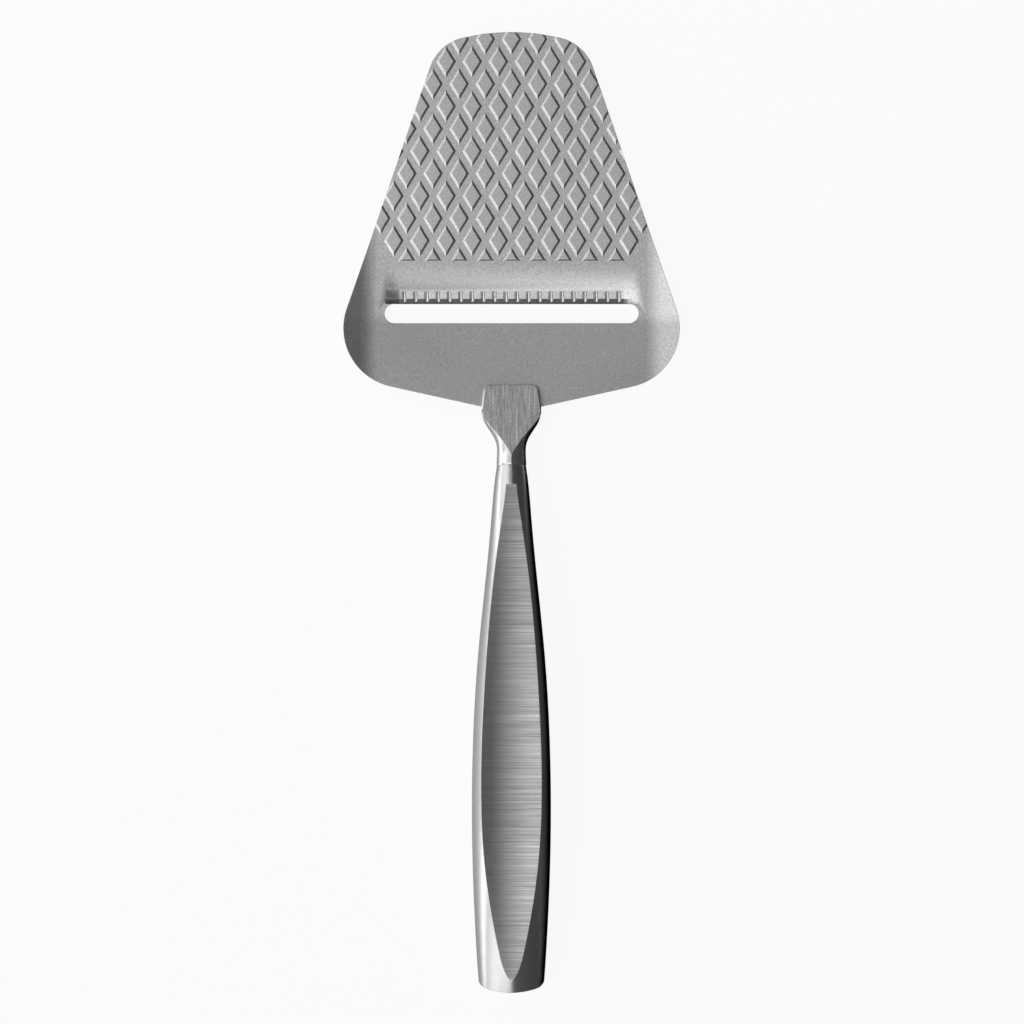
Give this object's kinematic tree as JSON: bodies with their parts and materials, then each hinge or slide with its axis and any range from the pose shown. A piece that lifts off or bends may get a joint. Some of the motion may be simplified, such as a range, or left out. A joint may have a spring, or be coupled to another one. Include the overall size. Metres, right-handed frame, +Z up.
{
  "type": "cheese slicer",
  "caption": "Flat cheese slicer in stainless steel: a trapezium blade with a pressed diamond lattice, a slot with a notched cutting lip, a bolster and a swelling hollow handle.",
  "frame": {"origin": "centre of the bounding box at its lowest level, which is the table that the slicer lies on", "axes": "+Y along the tool from the handle's butt to the blade's tip, +Z up out of the blade's upper face, +X across to the right seen from above"},
  "size_m": [0.086, 0.2452, 0.0185],
  "materials": {
    "blade_steel": "fine satin, bead-blasted look",
    "bolster_steel": "satin, brushed lengthwise on the ground face",
    "handle_steel": "polished flanks, cross-brushed ground facets"
  },
  "bodies": {
    "root": {"blade": "blade_steel", "bolster": "bolster_steel", "handle_upper_shell": "handle_steel", "handle_lower_shell": "handle_steel"}
  },
  "joints": []
}
